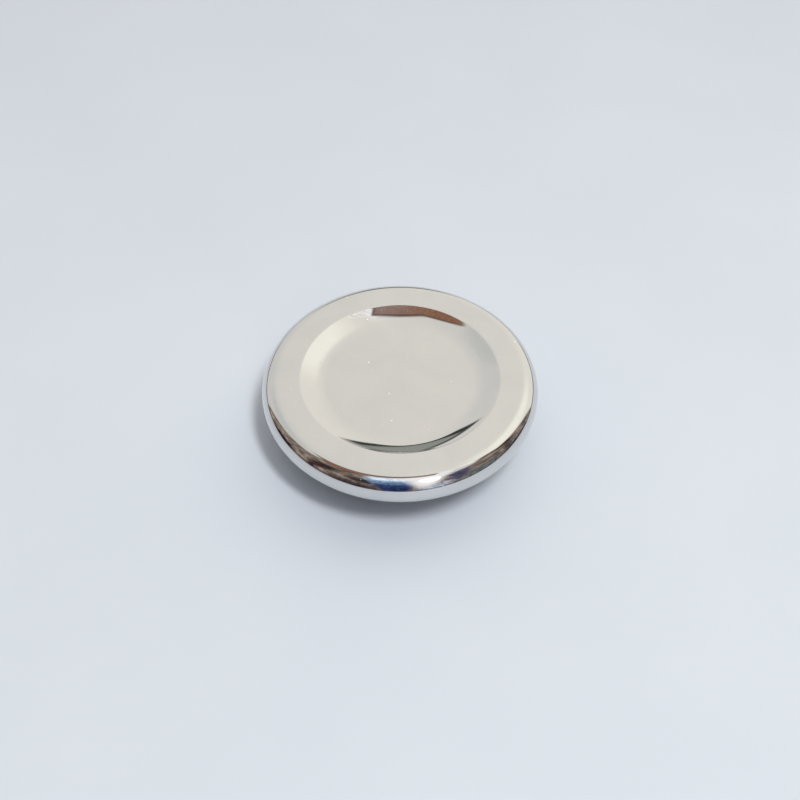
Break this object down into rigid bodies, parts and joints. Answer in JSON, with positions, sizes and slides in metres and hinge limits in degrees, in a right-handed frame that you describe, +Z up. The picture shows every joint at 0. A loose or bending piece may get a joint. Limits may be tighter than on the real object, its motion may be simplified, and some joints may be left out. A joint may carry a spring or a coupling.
{
  "type": "deck fill cap",
  "caption": "Round chromed quarter-turn filler cap with a dished top, rolled bead, bayonet lug cup, sprung gasket and two-way vent valve.",
  "frame": {"origin": "where the cap's axis meets the plane that the lug cup's rim stands on", "axes": "+Z up along the cap's axis, out of the filler; +X towards the middle of one bayonet lug"},
  "size_m": [0.062, 0.062, 0.0172],
  "materials": {
    "cover_chrome": "bright polished chrome plate on a pressed sheet cover",
    "zinc_plate": "zinc-plated pressed steel, satin",
    "stainless_cup": "pressed stainless steel, fine drawing lines",
    "rivet_steel": "plain stainless steel",
    "valve_brass": "turned brass, slightly dulled",
    "vent_felt": "pressed grey felt",
    "spring_steel": "oiled spring steel",
    "screen_gauze": "woven stainless gauze",
    "seal_rubber": "moulded black nitrile rubber, matt"
  },
  "bodies": {
    "cover": {"cover_shell": "cover_chrome", "backing_pan": "zinc_plate", "lug_cup": "stainless_cup", "cup_rivet_1": "rivet_steel", "cup_rivet_2": "rivet_steel", "cup_rivet_3": "rivet_steel", "cup_rivet_4": "rivet_steel", "valve_cage": "valve_brass", "vent_filter": "vent_felt", "wave_spring": "spring_steel", "relief_spring": "spring_steel", "baffle_plate": "zinc_plate", "flame_screen": "screen_gauze", "baffle_snap_ring": "spring_steel", "seal_snap_ring": "spring_steel"},
    "washer": {"slip_washer": "stainless_cup"},
    "seal": {"seal_plate": "zinc_plate", "gasket": "seal_rubber"},
    "relief_valve": {"relief_disc": "valve_brass", "relief_seal": "seal_rubber", "vacuum_spring": "spring_steel"},
    "vacuum_valve": {"vacuum_poppet": "valve_brass", "vacuum_seal": "seal_rubber", "vacuum_keeper": "rivet_steel"}
  },
  "joints": [
    {"name": "seal_travel", "type": "slide", "parent": "cover", "child": "washer", "axis": [0, 0, 1], "range_m": [0, 0.001], "stiffness_N_per_m": 8000, "springref_m": -0.0008, "deforming": ["wave_spring"]},
    {"name": "seal_spin", "type": "hinge", "parent": "washer", "child": "seal", "pos_m": [0, 0, 0.0076], "axis": [0, 0, 1], "continuous": true},
    {"name": "relief_lift", "type": "slide", "parent": "cover", "child": "relief_valve", "axis": [0, 0, 1], "range_m": [0, 0.0015], "stiffness_N_per_m": 400, "springref_m": -0.0025, "deforming": ["relief_spring"]},
    {"name": "vacuum_drop", "type": "slide", "parent": "relief_valve", "child": "vacuum_valve", "axis": [0, 0, -1], "range_m": [0, 0.001], "stiffness_N_per_m": 30, "springref_m": -0.0015, "deforming": ["vacuum_spring"]}
  ]
}
